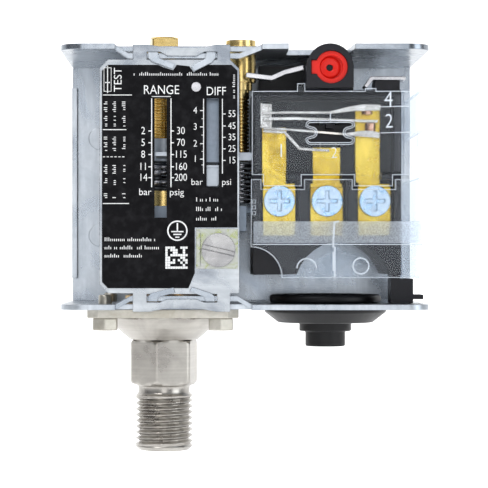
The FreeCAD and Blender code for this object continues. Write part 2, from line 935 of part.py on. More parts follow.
diff_nut = new_body("diff_nut")
raise_up(
    diff_nut,
    [
        [(-10.8, -9.6), (-8.7, -9.6), (-8.7, -5.6), (-4.4, -3.6), (2.45, -3.6), (2.45, 4.0), (-4.8, 4.0)]
        + [(-10.8, -4.0)],
        disc(0, 0, second_radius + running_gap),
    ],
    second_nut_low,
    second_nut_low + 1.8,
)
raise_front(
    diff_nut,
    [[(-10.8, 61.4), (-8.4, 61.4), (-7.6, 60.2), (-5.4, 60.2), (-4.4, 61.4), (-4.4, 64.9)]
     + [(-8.4, 64.9), (-8.4, 68.1), (-10.8, 68.1)]],
    -10.6,
    -9.6,
)
raise_front(diff_nut, [box_loop(-8.2, -4.6, 64.3, 64.9)], -11.0, -10.6)
place(diff_nut, second_across, second_depth)
exported.append(diff_nut)

# flat guide behind the second window; the pointer runs in front of it
plate("pointer_guide", [box_loop(9.4, 13.6, 65.6, 82.0)], -17.0, -16.4)

diff_spring = new_body("diff_spring")
thin_coil = draw(diff_spring, "XZ_Plane", [disc(2.0, 56.9, 0.3)])
thin_helix = diff_spring.newObject("PartDesign::AdditiveHelix", "diff_spring_helix")
thin_helix.Profile = thin_coil
thin_helix.ReferenceAxis = (thin_coil, ["V_Axis"])
thin_helix.Mode = 0
thin_helix.Pitch = 0.95
thin_helix.Height = 8.55
doc.recompute()
place(diff_spring, second_across + 0.4, second_depth + 0.4)
exported.append(diff_spring)

# ---------------------------------------------------------------- switch housing

chamber_left = box_left + box_wall
chamber_right = box_right - box_wall
housing = new_body("switch_housing")
arch_across = 40.5
raise_front(
    housing,
    [
        [(box_left, box_low)]
        + arc(arch_across, 37.2, 11, 162, 18, 12)
        + [(box_right, box_low), (box_right, box_high), (box_left, box_high)]
    ],
    box_front,
    box_back,
)
cut_front(
    housing,
    [box_loop(chamber_left, chamber_right, box_ledge + box_wall, box_high - box_wall)],
    box_front,
    -6,
)
screw_wells = []
for index in range(3):
    centre = terminal_first + terminal_pitch * index
    screw_wells.append(box_loop(centre - 4.3, centre + 4.3, 48.6, box_ledge))
cut_front(housing, screw_wells, box_front, terminal_back)
terminal_slots = []
terminal_sides = ((22.3, 27.9), (33.8, 40.1), (43.4, 49.1))
for left, right in terminal_sides:
    terminal_slots.append(box_loop(left - 0.1, right + 0.1, box_ledge - 0.2, box_ledge + box_wall + 0.2))
cut_front(housing, terminal_slots, box_front, terminal_back)
cut_front(
    housing,
    [box_loop(chamber_left + 0.4, chamber_right - 0.4, 49.5, box_high - 2)],
    -4,
    box_back,
)
# opening of the chamber floor for the transfer rod, and slot of the left wall for the arm
cut_front(housing, [box_loop(transfer_across - 2, transfer_across + 2, 69.2, 76.5)], -6, -4)
before_slot = housing.Shape.Volume
slot_sketch = draw(housing, "YZ_Plane", [box_loop(-1, 7, 53, 59)], level=box_left + 2.4)
feature(housing, "Pocket", slot_sketch, Length=3.0)
if housing.Shape.Volume > before_slot - 1:
    raise ValueError("the arm slot cut nothing")
# threaded shanks of the terminal screws need room behind the strips
cut_front(
    housing,
    [
        disc(terminal_first + terminal_pitch * index, terminal_height, terminal_shank + 0.1)
        for index in range(3)
    ],
    terminal_back,
    -5.6,
)
# the foot that stands on the lower flange, and the raised rear part behind the calibration boss
raise_front(
    housing,
    [
        [(51.3, 34.1), (56.3, 34.1), (56.3, 35.0), (58.6, 35.0), (58.6, 36.0), (56.3, 36.0)]
        + [(56.3, 39.6), (53.4, 39.6), (53.4, 41.0), (51.3, 41.0)]
    ],
    -13,
    -5,
)
raise_front(housing, [box_loop(22.0, 44.0, 81.5, 89.0)], 2, 11)
raise_front(
    housing,
    [disc(stud_low[0], stud_low[1], 2.2), disc(stud_high[0], stud_high[1], 2.2)],
    -4.5,
    case_back - sheet_gauge,
)
raise_front(
    housing,
    [disc(stud_low[0], stud_low[1], 1.5), disc(stud_high[0], stud_high[1], 1.5)],
    case_back - sheet_gauge - 0.5,
    case_back - 0.2,
)
exported.append(housing)

# ---------------------------------------------------------------- terminals

terminal_front = terminal_back - terminal_gauge
terminal_tops = (73.8, 69.3, 78.0)
for index, (mark, top) in enumerate(zip(("1", "2", "4"), terminal_tops)):
    left, right = terminal_sides[index]
    centre = terminal_first + terminal_pitch * index
    strip = plate(
        "terminal_" + mark,
        [[(centre - 3.6, 49.2), (centre + 3.6, 49.2), (centre + 3.6, 61.2), (right, 61.2)]
         + [(right, top), (left, top), (left, 61.2), (centre - 3.6, 61.2)]],
        terminal_front,
        terminal_back,
    )
    cut_front(strip, [disc(centre, terminal_height, terminal_shank)], terminal_front, terminal_back)

clamps = []
screws = []
clamp_gauge = 0.9
for index in range(3):
    centre = terminal_first + terminal_pitch * index
    washer = primitive("Box", "clamp_blank", Length=7.4, Width=clamp_gauge, Height=9.4)
    bind(washer, "Placement.Base.x", centre - 3.7)
    bind(washer, "Placement.Base.y", terminal_front - clamp_gauge)
    bind(washer, "Placement.Base.z", terminal_height - 6.2)
    drill = primitive("Cylinder", "clamp_drill", Radius=terminal_shank + 0.15, Height=4)
    bind(drill, "Placement.Base.x", centre)
    bind(drill, "Placement.Base.y", terminal_front + 1)
    bind(drill, "Placement.Base.z", terminal_height)
    drill.Placement.Rotation = FreeCAD.Rotation(FreeCAD.Vector(1, 0, 0), 90)
    clamps.append(subtract("clamp", washer, drill))
    shank = primitive("Cylinder", "terminal_shank", Radius=terminal_shank, Height=5.2)
    bind(shank, "Placement.Base.x", centre)
    bind(shank, "Placement.Base.y", terminal_back + 3.0)
    bind(shank, "Placement.Base.z", terminal_height)
    shank.Placement.Rotation = FreeCAD.Rotation(FreeCAD.Vector(1, 0, 0), 90)
    head = primitive("Cylinder", "terminal_head", Radius=3.5, Height=2.2)
    bind(head, "Placement.Base.x", centre)
    bind(head, "Placement.Base.y", terminal_front - clamp_gauge)
    bind(head, "Placement.Base.z", terminal_height)
    head.Placement.Rotation = FreeCAD.Rotation(FreeCAD.Vector(1, 0, 0), 90)
    whole = join("terminal_screw_blank", [shank, head])
    slots = []
    for length, height in ((4.6, 0.9), (0.9, 4.6)):
        cutter = primitive("Box", "driver_slot", Length=length, Width=1.2, Height=height)
        bind(cutter, "Placement.Base.x", centre - length / 2)
        bind(cutter, "Placement.Base.y", terminal_front - clamp_gauge - 2.3)
        bind(cutter, "Placement.Base.z", terminal_height - height / 2)
        slots.append(cutter)
    screws.append(subtract("terminal_screw", whole, join("driver_cross", slots)))
group("terminal_clamps", clamps)
group("terminal_screws", screws)

# ---------------------------------------------------------------- contacts

strip_back = terminal_front
plate(
    "contact_strip_upper",
    [
        [(22.5, 76.7), (28.0, 76.8), (38.0, 76.8), (43.0, 77.4), (49.0, 77.5), (49.0, 78.8), (45.0, 78.9)]
        + [(41.5, 78.3), (37.5, 77.3), (28.0, 77.3), (22.5, 77.2)]
    ],
    strip_back - 2.6,
    strip_back,
)
button_high = new_body("contact_button_upper")
raise_up(button_high, [disc(46.1, -11.3, 1.15)], 76.7, 77.4)
exported.append(button_high)
blade = plate(
    "contact_blade",
    [[(22.7, 75.3), (24.5, 75.3), (30.0, 75.4), (48.4, 74.75), (48.4, 75.35), (30.0, 76.0), (24.5, 76.0)]
     + [(22.7, 76.0)]],
    strip_back - 2.6,
    strip_back - 0.2,
)
cut_front(
    blade,
    [disc(blade_pivot_across, blade_pivot_height + 0.05, 0.28)],
    strip_back - 2.6,
    strip_back - 0.2,
)
button_low = new_body("contact_button_lower")
raise_up(button_low, [disc(46.8, -11.3, 1.15)], 72.95, 74.65)
exported.append(button_low)
plate(
    "contact_finger_lower",
    [[(22.6, 73.3), (28.0, 73.0), (41.0, 71.9), (48.8, 71.3), (48.8, 72.5), (47.0, 72.95), (44.5, 72.95)]
     + [(41.0, 72.4), (28.0, 73.5), (22.6, 73.8)]],
    strip_back - 2.6,
    strip_back - 0.5,
)
bar(
    "bent_strip",
    [(22.6, 72.9), (27.4, 72.65), (30.8, 68.9), (37.5, 68.5)],
    0.6,
    strip_back - 2.2,
    strip_back,
)
bracket = new_body("blade_bracket")
raise_front(
    bracket,
    [box_loop(21.95, 22.4, 74.4, 79.2)],
    strip_back - 2.6,
    strip_back,
)
raise_front(
    bracket,
    [box_loop(21.95, 24.6, 73.8, 79.2)],
    strip_back,
    strip_back + 0.5,
)
raise_front(
    bracket,
    [disc(blade_pivot_across, blade_pivot_height + 0.05, 0.22)],
    strip_back - 2.6,
    strip_back,
)
exported.append(bracket)

# ---------------------------------------------------------------- covers

contact_cover = new_body("contact_cover")
cover_front = -18.0
cover_skin = 1.0
cover_outline = (
    [(19.8, 62.7), (22.3, 62.7), (22.3, 60.2), (31.0, 60.2), (31.0, 62.7), (42.6, 62.7), (42.6, 60.2)]
    + [(51.3, 60.2), (51.3, 62.7), (55.6, 62.7), (55.6, 68.9), (56.8, 68.9), (56.8, 72.3), (58.0, 72.3)]
    + [(58.0, 81.5), (47.6, 81.5), (47.6, 82.1), (45.0, 82.1)]
    + [(45.0, 81.5), (31.8, 81.5), (31.8, 83.2), (29.9, 83.2), (29.9, 81.5), (19.8, 81.5)]
)
# the opening in the face is shaped like a bone, with a narrow slit upwards from its middle
bone = (
    arc(33.0, 70.7, 0.8, 180, 270, 3)
    + arc(41.6, 70.7, 0.8, 270, 360, 3)
    + arc(41.4, 72.2, 1.2, 310, 50, 6)[1:-1]
    + arc(41.6, 73.7, 0.8, 0, 90, 3)
    + [(37.5, 74.5), (37.5, 76.1), (37.2, 76.1), (37.2, 74.5)]
    + arc(33.0, 73.7, 0.8, 90, 180, 3)
    + arc(33.2, 72.2, 1.2, 130, -130, 6)[1:-1]
)
raise_front(contact_cover, [cover_outline, bone], cover_front, cover_front + cover_skin)
raise_front(contact_cover, [box_loop(57.0, 58.0, 72.3, 81.5)], cover_front + cover_skin, 12)
raise_front(
    contact_cover,
    [
        box_loop(19.8, 53.9, 62.7, 81.5),
        box_loop(20.8, 52.9, 63.7, 80.5),
    ],
    cover_front + cover_skin,
    box_front,
)
exported.append(contact_cover)

terminal_cover = new_body("terminal_cover")
shield_front = -19.6
shield_skin = 1.0
shield_outline = (
    [(26.4, 39.8), (58.0, 39.8), (58.0, 62.2), (55.2, 62.2), (55.2, 61.8), (51.6, 61.8), (51.6, 59.6)]
    + [(42.2, 59.6), (42.2, 61.8), (31.4, 61.8), (31.4, 59.6), (22.0, 59.6), (22.0, 61.8), (19.6, 61.8)]
    + arc(19.6, 39.8, 6.8, 90, 0, 10)[:-1]
)
raise_front(terminal_cover, [shield_outline], shield_front, shield_front + shield_skin)
raise_front(
    terminal_cover,
    [box_loop(58.0 - shield_skin, 58.0, 39.8, 62.2)],
    shield_front + shield_skin,
    17,
)
# stiffening rib on the inner face, and the ledge above the wire entries
raise_front(
    terminal_cover,
    [box_loop(37.6, 39.0, 41.0, 53.0), box_loop(19.6, 57.0, 47.2, 48.0)],
    shield_front + shield_skin,
    -15.2,
)
exported.append(terminal_cover)

# ---------------------------------------------------------------- calibration boss, seal and small metal pieces

boss = new_body("calibration_boss")
raise_front(
    boss,
    [
        [(31.9, box_high)]
        + [(42.3, box_high), (42.3, 86.5)]
        + arc(37.1, 86.5, 5.2, 0, 180, 16)[1:]
    ],
    case_front + 1.5,
    -10,
)
cut_front(boss, [disc(boss_across, boss_height, 3.65)], case_front + 1.5, -15)
cut_front(boss, [box_loop(32.9, 35.0, 84.9, 88.1)], case_front + 1.5, -18)
raise_front(boss, [disc(boss_across, boss_height, 2.0)], -18.6, -14)
exported.append(boss)

seal = new_body("calibration_seal")
raise_front(seal, [disc(boss_across, boss_height, 3.6), disc(boss_across, boss_height, 2.05)], -20.8, -15.4)
raise_front(seal, [box_loop(33.0, 34.6, 85.0, 88.0)], -20.8, -18.4)
cut_front(seal, [disc(boss_across, boss_height, 2.6)], -20.8, -19.4)
exported.append(seal)

strap = bar(
    "boss_strap",
    [(18.6, 85.3), (24.4, 84.6), (27.3, 85.9), (31.6, 86.9)],
    1.1,
    -15.5,
    -12.5,
)
latch = bar("latch_strip", [(45.4, 82.6), (46.9, 84.6), (54.4, 84.6)], 0.9, -15, -9)
block = plate("latch_block", [box_loop(47.6, 53.2, box_high, 84.15)], -14, -6)

grommet = new_body("cable_grommet")
turn(
    grommet,
    [
        [
            (cable_bore, 23.9),
            (4.6, 23.9),
            (4.6, 27.4),
            (6.0, 27.4),
            (6.0, 29.4),
            (10.9, 29.4),
            (14.1, 31.9),
            (14.1, case_bottom),
            (cable_hole, case_bottom),
            (cable_hole, inner_low),
            (12.6, inner_low),
            (12.9, inner_low + 0.5),
            (12.9, inner_low + 1.4),
            (12.4, inner_low + 1.9),
            (9.6, inner_low + 1.9),
            (9.0, 31.2),
            (cable_bore + 1.6, 30.6),
            (cable_bore, 30.6),
        ]
    ],
)
place(grommet, cable_across)
exported.append(grommet)

# ---------------------------------------------------------------- checks and export

doc.recompute()
for thing in doc.Objects:
    for state in thing.State:
        if state in ("Invalid", "Error"):
            raise ValueError("%s: %s" % (thing.Label, state))
os.makedirs("parts", exist_ok=True)
for thing in exported:
    shape = thing.Shape
    if shape.isNull() or not shape.isValid() or not shape.Solids:
        raise ValueError(thing.Label + ": bad shape")
    shape.exportStep("parts/%s.step" % thing.Label)
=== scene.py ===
import math
import random

import bmesh
import bpy
from mathutils import Matrix, Vector


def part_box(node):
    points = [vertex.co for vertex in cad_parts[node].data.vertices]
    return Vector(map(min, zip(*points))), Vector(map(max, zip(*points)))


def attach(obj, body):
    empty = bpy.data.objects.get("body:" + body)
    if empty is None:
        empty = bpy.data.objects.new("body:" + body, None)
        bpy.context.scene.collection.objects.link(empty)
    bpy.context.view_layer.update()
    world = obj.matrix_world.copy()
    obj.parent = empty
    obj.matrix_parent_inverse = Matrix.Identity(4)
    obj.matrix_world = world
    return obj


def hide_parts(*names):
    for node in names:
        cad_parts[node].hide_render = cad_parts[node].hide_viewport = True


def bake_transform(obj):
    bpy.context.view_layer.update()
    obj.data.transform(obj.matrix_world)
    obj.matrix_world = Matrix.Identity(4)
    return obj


# Pressure switch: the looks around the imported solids. Metres; helper sizes are in millimetres.

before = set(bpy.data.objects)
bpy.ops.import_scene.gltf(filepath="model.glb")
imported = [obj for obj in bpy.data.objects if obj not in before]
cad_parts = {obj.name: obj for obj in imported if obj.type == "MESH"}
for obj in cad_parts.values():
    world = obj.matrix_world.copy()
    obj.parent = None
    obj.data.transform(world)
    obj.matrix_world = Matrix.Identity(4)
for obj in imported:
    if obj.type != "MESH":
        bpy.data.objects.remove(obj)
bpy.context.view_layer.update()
MM = 0.001
DIFF_ACROSS, DIFF_DEPTH = 17.6, -8.0  # axis of the differential spindle
INK_HALF = 0.01  # half the thickness of the print
FLOOR_HEIGHT = -0.0205
FLOOR_REACH = 5.0
SWEEP_START, SWEEP_RADIUS = 0.35, 0.25  # where the floor begins to curve up, and how widely


# ---------------------------------------------------------------- materials


class Shader:
    """A node material with a few short-hands for the procedural parts."""

    def __init__(self, name, color, metallic=0.0, roughness=0.5, **sockets):
        self.material = bpy.data.materials.new(name)
        self.material.use_nodes = True
        self.tree = self.material.node_tree
        self.nodes = self.tree.nodes
        self.links = self.tree.links
        self.shader = self.nodes["Principled BSDF"]
        self.shader.inputs["Base Color"].default_value = (*color, 1.0)
        self.shader.inputs["Metallic"].default_value = metallic
        self.shader.inputs["Roughness"].default_value = roughness
        for key, value in sockets.items():
            self.shader.inputs[key.replace("_", " ")].default_value = value
        self.place = self.nodes.new("ShaderNodeTexCoord").outputs["Object"]
        self.bumps = []

    def stretched(self, stretch):
        mapping = self.nodes.new("ShaderNodeMapping")
        mapping.inputs["Scale"].default_value = stretch
        self.links.new(self.place, mapping.inputs["Vector"])
        return mapping.outputs["Vector"]

    def noise(self, scale, detail=4.0, stretch=(1, 1, 1), distortion=0.0):
        node = self.nodes.new("ShaderNodeTexNoise")
        node.inputs["Scale"].default_value = scale
        node.inputs["Detail"].default_value = detail
        node.inputs["Roughness"].default_value = 0.55
        node.inputs["Distortion"].default_value = distortion
        self.links.new(self.stretched(stretch), node.inputs["Vector"])
        return node.outputs["Fac"]

    def ramp(self, value, stops):
        """Map a value to colours; stops are (position, colour)."""
        node = self.nodes.new("ShaderNodeValToRGB")
        elements = node.color_ramp.elements
        while len(elements) < len(stops):
            elements.new(0.5)
        for element, (position, color) in zip(elements, stops):
            element.position = position
            element.color = (*color, 1.0)
        self.links.new(value, node.inputs["Fac"])
        return node.outputs["Color"]

    def span(self, value, low, high, from_low=0.3, from_high=0.7):
        node = self.nodes.new("ShaderNodeMapRange")
        node.inputs["From Min"].default_value = from_low
        node.inputs["From Max"].default_value = from_high
        node.inputs["To Min"].default_value = low
        node.inputs["To Max"].default_value = high
        self.links.new(value, node.inputs["Value"])
        return node.outputs["Result"]

    def mix(self, factor, first, second):
        """Blend two colours, each a tuple or another node's output."""
        node = self.nodes.new("ShaderNodeMix")
        node.data_type = "RGBA"
        self.links.new(factor, node.inputs["Factor"])
        for key, value in (("A", first), ("B", second)):
            socket = [s for s in node.inputs if s.name == key and s.type == "RGBA"][0]
            if isinstance(value, tuple):
                socket.default_value = (*value, 1.0)
            else:
                self.links.new(value, socket)
        return [s for s in node.outputs if s.type == "RGBA"][0]

    def color(self, output):
        self.links.new(output, self.shader.inputs["Base Color"])

    def rough(self, output):
        self.links.new(output, self.shader.inputs["Roughness"])

    def bump(self, height, strength, distance):
        self.bumps.append((height, strength, distance))

    def done(self, bevel=0.0):
        """Chain the bumps over a small rounding of the edges."""
        normal = None
        if bevel:
            rounding = self.nodes.new("ShaderNodeBevel")
            rounding.samples = 4
            rounding.inputs["Radius"].default_value = bevel * MM
            normal = rounding.outputs["Normal"]
        for height, strength, distance in self.bumps:
            node = self.nodes.new("ShaderNodeBump")
            node.inputs["Strength"].default_value = strength
            node.inputs["Distance"].default_value = distance * MM
            self.links.new(height, node.inputs["Height"])
            if normal:
                self.links.new(normal, node.inputs["Normal"])
            normal = node.outputs["Normal"]
        if normal:
            self.links.new(normal, self.shader.inputs["Normal"])
        return self.material


def metal(name, dark, light, roughness, grain=(1, 1, 1), blotch=90.0, spread=0.10, bevel=0.12):
    """Plated or bare metal: soft blotches, fine directional grain and slightly rounded edges."""
    m = Shader(name, light, 1.0, roughness)
    clouds = m.noise(blotch, 5.0, (1, 1, 1), 0.6)
    lines = m.noise(900.0, 3.0, grain)
    tone = m.ramp(clouds, [(0.32, dark), (0.68, light)])
    m.color(m.mix(m.span(lines, 0.0, 0.25), tone, tuple(c * 0.72 for c in dark)))
    m.rough(m.span(clouds, roughness - spread, roughness + spread))
    m.bump(lines, 0.10, 0.02)
    m.bump(clouds, 0.12, 0.06)
    return m.done(bevel)


def plastic(name, color, roughness, bump=0.12, speck=2200.0, bevel=0.15, lift=1.6):
    """Moulded plastic or rubber: a fine speckle and slow changes of shade and gloss."""
    m = Shader(name, color, 0.0, roughness, Specular_IOR_Level=0.26)
    fine = m.noise(speck, 2.0)
    wide = m.noise(140.0, 4.0)
    lifted = tuple(min(c * lift + 0.002, 1.0) for c in color)
    m.color(m.mix(m.span(wide, 0.0, 0.7), color, lifted))
    m.rough(m.span(wide, roughness - 0.07, roughness + 0.09))
    m.bump(fine, bump, 0.02)
    return m.done(bevel)


zinc = metal("zinc_sheet", (0.20, 0.23, 0.27), (0.56, 0.60, 0.65), 0.28, (1, 1, 0.12), 70.0, 0.09, 0.25)
zinc_plate = metal(
    "zinc_front", (0.17, 0.19, 0.22), (0.50, 0.53, 0.56),
    0.26, (0.1, 1, 1), 110.0, 0.08, 0.2,
)
bright = metal("bright_steel", (0.30, 0.30, 0.32), (0.55, 0.55, 0.57), 0.24, (0.2, 1, 1), 180.0, 0.06, 0.15)
dull_plate = metal("flange_zinc", (0.36, 0.34, 0.29), (0.60, 0.58, 0.53), 0.40, (1, 1, 1), 160.0, 0.10, 0.2)
stainless = metal(
    "stainless", (0.32, 0.30, 0.28), (0.54, 0.52, 0.48),
    0.30, (0.05, 0.05, 3.0), 120.0, 0.07, 0.15,
)
bronze = metal("bellows_bronze", (0.45, 0.30, 0.14), (0.72, 0.54, 0.28), 0.32)
brass = metal(
    "spindle_brass", (0.55, 0.38, 0.12), (0.86, 0.68, 0.32),
    0.25, (0.1, 0.1, 2.0), 150.0, 0.06, 0.1,
)
nut_metal = metal("nut_steel", (0.26, 0.29, 0.33), (0.46, 0.50, 0.55), 0.33)
spring_metal = metal(
    "spring_steel", (0.22, 0.22, 0.24), (0.48, 0.48, 0.50),
    0.28, (1, 1, 1), 260.0, 0.06, 0.0,
)
arm_metal = metal("arm_steel", (0.14, 0.17, 0.21), (0.27, 0.31, 0.37), 0.36)
terminal_metal = metal(
    "terminal_brass", (0.30, 0.18, 0.01), (0.88, 0.64, 0.10),
    0.26, (1, 1, 0.2), 160.0, 0.08, 0.12,
)
screw_metal = metal(
    "screw_zinc", (0.26, 0.40, 0.56), (0.66, 0.76, 0.86),
    0.30, (1, 1, 1), 420.0, 0.12, 0.25,
)
silver = metal(
    "contact_silver", (0.24, 0.22, 0.20), (0.58, 0.56, 0.53),
    0.18, (0.1, 1, 1), 200.0, 0.06, 0.1,
)
copper = metal("contact_copper", (0.62, 0.30, 0.18), (0.90, 0.55, 0.40), 0.28, (1, 1, 1), 400.0, 0.06, 0.12)
black_plastic = plastic("black_plastic", (0.006, 0.006, 0.009), 0.40)
dark_rubber = plastic("black_rubber", (0.004, 0.004, 0.005), 0.42, 0.2, 1500.0, 0.2)
red_plastic = plastic("red_plastic", (0.62, 0.012, 0.006), 0.34, 0.10, 900.0, 0.15, 1.12)


def earth_zinc():
    """Zinc plating with a yellow-green tint that gathers in patches."""
    m = Shader("earth_zinc", (0.8, 0.8, 0.76), 1.0, 0.30)
    patches = m.noise(420.0, 4.0, (1, 1, 1), 1.2)
    lines = m.noise(900.0, 3.0, (0.1, 1, 1))
    tints = [(0.30, (0.22, 0.25, 0.10)), (0.50, (0.36, 0.38, 0.33)), (0.72, (0.46, 0.46, 0.48))]
    m.color(m.ramp(patches, tints))
    m.rough(m.span(patches, 0.22, 0.42))
    m.bump(lines, 0.12, 0.02)
    return m.done(0.2)


def label_black():
    """Smooth black print with a trace of dust and a soft sheen."""
    m = Shader("label_black", (0.004, 0.004, 0.005), 0.0, 0.38, Specular_IOR_Level=0.07)
    dust = m.noise(500.0, 6.0)
    wide = m.noise(60.0, 3.0)
    m.color(m.ramp(dust, [(0.45, (0.003, 0.003, 0.004)), (0.80, (0.014, 0.014, 0.016))]))
    m.rough(m.span(wide, 0.30, 0.46))
    m.bump(dust, 0.05, 0.02)
    return m.done(0.1)


def print_white():
    m = Shader("print_white", (0.72, 0.73, 0.74), 0.0, 0.55)
    wear = m.noise(1600.0, 3.0)
    m.color(m.ramp(wear, [(0.25, (0.56, 0.57, 0.58)), (0.55, (0.80, 0.81, 0.82))]))
    return m.done()


def clear_plastic(name, tint, roughness, clear_share, haze, scratch=0.05, grain=0.0):
    """Clear moulding: mostly seen through, with gloss, a milky haze and fine flow lines."""
    m = Shader(name, tint, 0.0, roughness, IOR=1.46)
    m.shader.inputs["Transmission Weight"].default_value = 1.0
    flow = m.noise(120.0, 4.0, (0.3, 1, 1), 0.8)
    m.rough(m.span(flow, max(roughness - 0.03, 0.0), roughness + 0.05))
    m.bump(flow, scratch, 0.05)
    see_through = m.nodes.new("ShaderNodeBsdfTransparent")
    see_through.inputs["Color"].default_value = (*tint, 1.0)
    milk = m.nodes.new("ShaderNodeBsdfDiffuse")
    milk.inputs["Color"].default_value = (0.80, 0.86, 0.94, 1.0)
    if grain:
        m.bump(m.noise(4200.0, 2.0), 0.5, 0.03)
    m.done()
    blend_clear = m.nodes.new("ShaderNodeMixShader")
    blend_clear.inputs["Fac"].default_value = clear_share
    blend_milk = m.nodes.new("ShaderNodeMixShader")
    if grain:
        speckle = m.noise(5200.0, 2.0)
        m.links.new(m.span(speckle, haze - grain, haze + grain, 0.36, 0.64), blend_milk.inputs["Fac"])
    else:
        blend_milk.inputs["Fac"].default_value = haze
    m.links.new(m.shader.outputs["BSDF"], blend_clear.inputs[1])
    m.links.new(see_through.outputs["BSDF"], blend_clear.inputs[2])
    m.links.new(blend_clear.outputs["Shader"], blend_milk.inputs[1])
    m.links.new(milk.outputs["BSDF"], blend_milk.inputs[2])
    out = [n for n in m.nodes if n.type == "OUTPUT_MATERIAL"][0]
    m.links.new(blend_milk.outputs["Shader"], out.inputs["Surface"])
    return m.material


earth_metal = earth_zinc()
screw_head = metal(
    "screw_head", (0.16, 0.16, 0.17), (0.42, 0.42, 0.42),
    0.24, (0.1, 1, 1), 130.0, 0.06, 0.3,
)
label_face = label_black()
white_ink = print_white()
clear = clear_plastic("clear_plastic", (0.95, 0.97, 0.99), 0.05, 0.86, 0.02)
# a milkier clear finish for cut edges and bead lines: a painted highlight where the covers catch the light
painted_edge_highlight = clear_plastic("painted_edge_highlight", (0.84, 0.90, 0.95), 0.22, 0.30, 0.50)
# a nearly white milky finish for the rims and numbers on the contact cover: a painted highlight
painted_rim_highlight = clear_plastic("clear_rim", (0.97, 0.98, 1.0), 0.18, 0.10, 0.72)
frosted = clear_plastic("clear_frosted", (0.92, 0.95, 0.98), 0.35, 0.72, 0.17, 0.9, 0.16)


# ---------------------------------------------------------------- mesh helpers


def mesh_object(name, mesh, materials, body):
    piece = bpy.data.objects.new(name, mesh)
    bpy.context.scene.collection.objects.link(piece)
    for material in materials:
        piece.data.materials.append(material)
    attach(piece, body)
    return piece


def arc(across, height, radius, start, end, steps):
    points = []
    for step in range(steps + 1):
        angle = math.radians(start + (end - start) * step / steps)
        points.append((across + radius * math.cos(angle), height + radius * math.sin(angle)))
    return points


def circle(across, height, radius, steps=48):
    return arc(across, height, radius, 0, 360, steps)[:-1]


def box_loop(left, right, low, high, radius=0.0):
    if not radius:
        return [(left, low), (right, low), (right, high), (left, high)]
    return (
        arc(left + radius, low + radius, radius, 180, 270, 5)
        + arc(right - radius, low + radius, radius, 270, 360, 5)
        + arc(right - radius, high - radius, radius, 0, 90, 5)
        + arc(left + radius, high - radius, radius, 90, 180, 5)
    )


def cutout_mesh(loops, front, back, bevel=0.0):
    """A plate in the XZ plane between two depths, from outer and inner loops, with rounded edges."""
    curve = bpy.data.curves.new("outline", "CURVE")
    curve.dimensions = "2D"
    curve.fill_mode = "BOTH"
    curve.extrude = ((back - front) / 2 - bevel) * MM
    curve.bevel_depth = bevel * MM
    curve.bevel_resolution = 2
    curve.offset = -bevel * MM
    for loop in loops:
        spline = curve.splines.new("POLY")
        spline.points.add(len(loop) - 1)
        for point, (across, height) in zip(spline.points, loop):
            point.co = (across * MM, height * MM, 0, 1)
        spline.use_cyclic_u = True
    return stand_up(curve, (front + back) / 2)


def stand_up(curve, depth):
    """Turn a flat curve or text into a mesh that stands in the XZ plane at a depth."""
    flat = bpy.data.objects.new("flat", curve)
    mesh = bpy.data.meshes.new_from_object(flat)
    bpy.data.objects.remove(flat)
    mesh.transform(Matrix.Translation((0, depth * MM, 0)) @ Matrix.Rotation(math.radians(90), 4, "X"))
    return mesh


def text_mesh(words, across, height, size, depth, thickness=0.03, turn=0.0, bold=0.0, squeeze=1.0):
    curve = bpy.data.curves.new("words", "FONT")
    curve.body = words
    curve.size = size * MM
    curve.align_x = "CENTER"
    curve.align_y = "CENTER"
    curve.extrude = thickness * MM / 2
    curve.offset = bold * MM
    curve.resolution_u = 4
    mesh = stand_up(curve, 0)
    mesh.transform(Matrix.Diagonal((squeeze, 1, 1, 1)))
    mesh.transform(Matrix.Rotation(math.radians(-turn), 4, "Y"))
    mesh.transform(Matrix.Translation((across * MM, depth * MM, height * MM)))
    return mesh


def merged(meshes):
    whole = bmesh.new()
    for mesh in meshes:
        whole.from_mesh(mesh)
        bpy.data.meshes.remove(mesh)
    result = bpy.data.meshes.new("merged")
    whole.to_mesh(result)
    whole.free()
    return result


def outline_bead(loop, width):
    """A closed outline as an outer and an inner loop, a printed line apart."""
    count = len(loop)
    inner = []
    for index in range(count):
        before = Vector(loop[index - 1])
        here = Vector(loop[index])
        after = Vector(loop[(index + 1) % count])
        first = (here - before).normalized()
        second = (after - here).normalized()
        bisector = (first + second).normalized()
        normal = Vector((-bisector.y, bisector.x))
        inner.append(tuple(here + normal * width))
    return [loop, inner]


def stroke(start, end, width):
    """A straight printed line as a thin closed loop."""
    a = Vector(start)
    b = Vector(end)
    along = (b - a).normalized()
    side = Vector((-along.y, along.x)) * width / 2
    return [tuple(a - side), tuple(b - side), tuple(b + side), tuple(a + side)]


